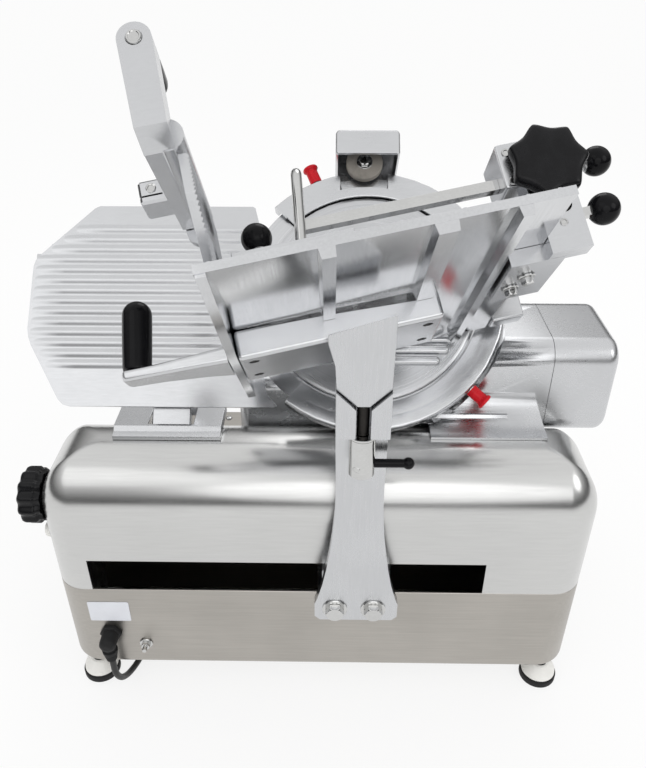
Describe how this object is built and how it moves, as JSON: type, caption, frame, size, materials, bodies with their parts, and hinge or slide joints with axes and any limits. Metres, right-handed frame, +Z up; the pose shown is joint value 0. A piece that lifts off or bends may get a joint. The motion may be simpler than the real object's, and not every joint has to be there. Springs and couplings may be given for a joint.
{
  "type": "deli meat slicer",
  "caption": "Countertop gravity-feed meat slicer with a tilted circular knife, ribbed gauge plate, ring guard and a product tray on a sliding carriage.",
  "frame": {"origin": "on the table, under the centre of the machine's bounding box without the cord", "axes": "+Z up, +X to the operator's right, +Y away from the operator"},
  "size_m": [0.6984, 0.6596, 0.7985],
  "materials": {
    "base_pan": "brushed stainless steel",
    "blade_motor": "glossy black plastic",
    "cable_gland": "glossy black plastic",
    "carriage_arm": "satin anodised cast aluminium",
    "carriage_truck": "satin anodised cast aluminium",
    "cord": "black rubber",
    "cord_coil": "black rubber",
    "feed_knob": "glossy black plastic",
    "feed_rod": "polished steel",
    "feed_rod_block": "satin anodised cast aluminium",
    "feed_rod_foot": "satin anodised cast aluminium",
    "feed_slider": "satin anodised cast aluminium",
    "foot_front_left": "black rubber",
    "foot_front_right": "black rubber",
    "foot_rear_left": "black rubber",
    "foot_rear_right": "black rubber",
    "front_cover": "satin stainless steel",
    "gauge_arm": "satin anodised cast aluminium",
    "gauge_plate": "satin anodised cast aluminium",
    "gauge_saddle": "satin anodised cast aluminium",
    "grinding_stone": "bonded abrasive",
    "guide_rod": "polished steel",
    "hand_grip": "glossy black plastic",
    "handle_arm": "satin anodised cast aluminium",
    "index_knob": "glossy black plastic",
    "index_shaft": "brushed stainless steel",
    "knife": "polished steel",
    "knife_bearing": "brushed stainless steel",
    "knife_cover": "satin anodised cast aluminium",
    "knife_shaft": "brushed stainless steel",
    "lock_collar": "brushed stainless steel",
    "lock_screw": "glossy black plastic",
    "mains_plug": "black rubber",
    "motor_end_cap": "satin anodised cast aluminium",
    "motor_shaft": "brushed stainless steel",
    "pedestal": "satin anodised cast aluminium",
    "press_arm": "satin anodised cast aluminium",
    "press_bar": "brushed stainless steel",
    "press_handle": "glossy black plastic",
    "pusher": "satin anodised cast aluminium",
    "pusher_knob": "glossy black plastic",
    "rear_deck": "brushed stainless steel",
    "red_knob_lower": "glossy red plastic",
    "red_knob_upper": "glossy red plastic",
    "ring_guard": "satin anodised cast aluminium",
    "rod_block_left": "satin anodised cast aluminium",
    "rod_block_right": "satin anodised cast aluminium",
    "rod_lock_lever": "brushed stainless steel",
    "sharpener_bracket": "satin anodised cast aluminium",
    "sharpener_head": "satin anodised cast aluminium",
    "side_fence": "brushed stainless steel",
    "slide_rod": "polished steel",
    "star_knob": "glossy black plastic",
    "start_button": "white plastic",
    "stop_button": "glossy black plastic",
    "tray_beam": "satin anodised cast aluminium",
    "tray_plate": "satin stainless steel",
    "tray_post": "satin anodised cast aluminium",
    "worm_wheel": "worm wheel bronze"
  },
  "bodies": {
    "base": {"base_pan": "base_pan", "blade_motor": "blade_motor", "cable_gland": "cable_gland", "cord": "cord", "cord_coil": "cord_coil", "foot_front_left": "foot_front_left", "foot_front_right": "foot_front_right", "foot_rear_left": "foot_rear_left", "foot_rear_right": "foot_rear_right", "front_cover": "front_cover", "gauge_saddle": "gauge_saddle", "guide_rod": "guide_rod", "knife_bearing": "knife_bearing", "knife_cover": "knife_cover", "mains_plug": "mains_plug", "motor_end_cap": "motor_end_cap", "pedestal": "pedestal", "rear_deck": "rear_deck", "ring_guard": "ring_guard", "rod_block_left": "rod_block_left", "rod_block_right": "rod_block_right", "sharpener_bracket": "sharpener_bracket", "slide_rod": "slide_rod"},
    "knife": {"knife": "knife", "knife_shaft": "knife_shaft", "worm_wheel": "worm_wheel"},
    "motor_shaft": {"motor_shaft": "motor_shaft"},
    "red_knob_upper": {"red_knob_upper": "red_knob_upper"},
    "red_knob_lower": {"red_knob_lower": "red_knob_lower"},
    "sharpener": {"sharpener_head": "sharpener_head"},
    "stone": {"grinding_stone": "grinding_stone"},
    "gauge": {"gauge_plate": "gauge_plate", "gauge_arm": "gauge_arm"},
    "index": {"index_knob": "index_knob", "index_shaft": "index_shaft"},
    "start_button": {"start_button": "start_button"},
    "stop_button": {"stop_button": "stop_button"},
    "carriage": {"carriage_truck": "carriage_truck", "carriage_arm": "carriage_arm", "tray_post": "tray_post", "lock_screw": "lock_screw", "tray_beam": "tray_beam", "tray_plate": "tray_plate", "handle_arm": "handle_arm", "hand_grip": "hand_grip", "side_fence": "side_fence", "feed_rod": "feed_rod", "feed_rod_block": "feed_rod_block", "feed_rod_foot": "feed_rod_foot"},
    "collar": {"lock_collar": "lock_collar"},
    "press": {"press_arm": "press_arm", "press_handle": "press_handle"},
    "feed": {"feed_slider": "feed_slider", "feed_knob": "feed_knob"},
    "bar": {"press_bar": "press_bar", "pusher": "pusher", "pusher_knob": "pusher_knob"},
    "star": {"star_knob": "star_knob"},
    "lever": {"rod_lock_lever": "rod_lock_lever"}
  },
  "joints": [
    {"name": "knife_spin", "type": "hinge", "parent": "base", "child": "knife", "pos_m": [0.05345, 0.06676, 0.479], "axis": [0, -0.7071, 0.7071], "continuous": true},
    {"name": "motor_spin", "type": "hinge", "parent": "base", "child": "motor_shaft", "pos_m": [0.05345, 0.06146, 0.39733], "axis": [1, 0, 0], "continuous": true},
    {"name": "carriage_slide", "type": "slide", "parent": "base", "child": "carriage", "axis": [1, 0, 0], "range_m": [-0.26, 0.08]},
    {"name": "collar_turn", "type": "hinge", "parent": "carriage", "child": "collar", "pos_m": [0.04035, -0.16544, 0], "axis": [0, 0, 1], "range_deg": [-130, 0]},
    {"name": "press_swing", "type": "hinge", "parent": "carriage", "child": "press", "pos_m": [-0.10887, 0.05085, 0.49166], "axis": [0, -0.7071, 0.7071], "range_deg": [-70, 0]},
    {"name": "feed_slide", "type": "slide", "parent": "carriage", "child": "feed", "axis": [0, 0.7071, -0.7071], "range_m": [0, 0.13]},
    {"name": "bar_slide", "type": "slide", "parent": "feed", "child": "bar", "axis": [0.9744, 0.1591, 0.1591], "range_m": [-0.005, 0.07]},
    {"name": "star_turn", "type": "hinge", "parent": "feed", "child": "star", "pos_m": [0.19544, -0.0623, 0.66134], "axis": [0, -0.7071, 0.7071], "range_deg": [-180, 180]},
    {"name": "lever_turn", "type": "hinge", "parent": "feed", "child": "lever", "pos_m": [0.19964, 0.04425, 0.48505], "axis": [0, -0.7071, 0.7071], "range_deg": [-40, 5]},
    {"name": "gauge_slide", "type": "slide", "parent": "base", "child": "gauge", "axis": [0, 0.7071, -0.7071], "range_m": [0, 0.0145]},
    {"name": "index_turn", "type": "hinge", "parent": "base", "child": "index", "pos_m": [-0.00315, -0.06419, 0.28398], "axis": [1, 0, 0], "range_deg": [0, 292]},
    {"name": "sharpener_press", "type": "slide", "parent": "base", "child": "sharpener", "axis": [0, 0.7071, -0.7071], "range_m": [0, 0.005]},
    {"name": "stone_spin", "type": "hinge", "parent": "sharpener", "child": "stone", "pos_m": [0.04845, 0.18379, 0.59603], "axis": [0, -0.7071, 0.7071], "continuous": true},
    {"name": "red_knob_upper_pull", "type": "slide", "parent": "base", "child": "red_knob_upper", "axis": [-0.3907, 0.6509, 0.6509], "range_m": [0, 0.005], "stiffness_N_per_m": 600},
    {"name": "red_knob_lower_pull", "type": "slide", "parent": "base", "child": "red_knob_lower", "axis": [0.7325, -0.4813, -0.4813], "range_m": [0, 0.005], "stiffness_N_per_m": 600},
    {"name": "start_press", "type": "slide", "parent": "base", "child": "start_button", "axis": [1, 0, 0], "range_m": [0, 0.003], "stiffness_N_per_m": 500},
    {"name": "stop_press", "type": "slide", "parent": "base", "child": "stop_button", "axis": [1, 0, 0], "range_m": [0, 0.003], "stiffness_N_per_m": 500}
  ],
  "couplings": [
    {"joint": "motor_spin", "follows": "knife_spin", "ratio": -30},
    {"joint": "index_turn", "follows": "gauge_slide", "rad_per_m": 349.07}
  ]
}
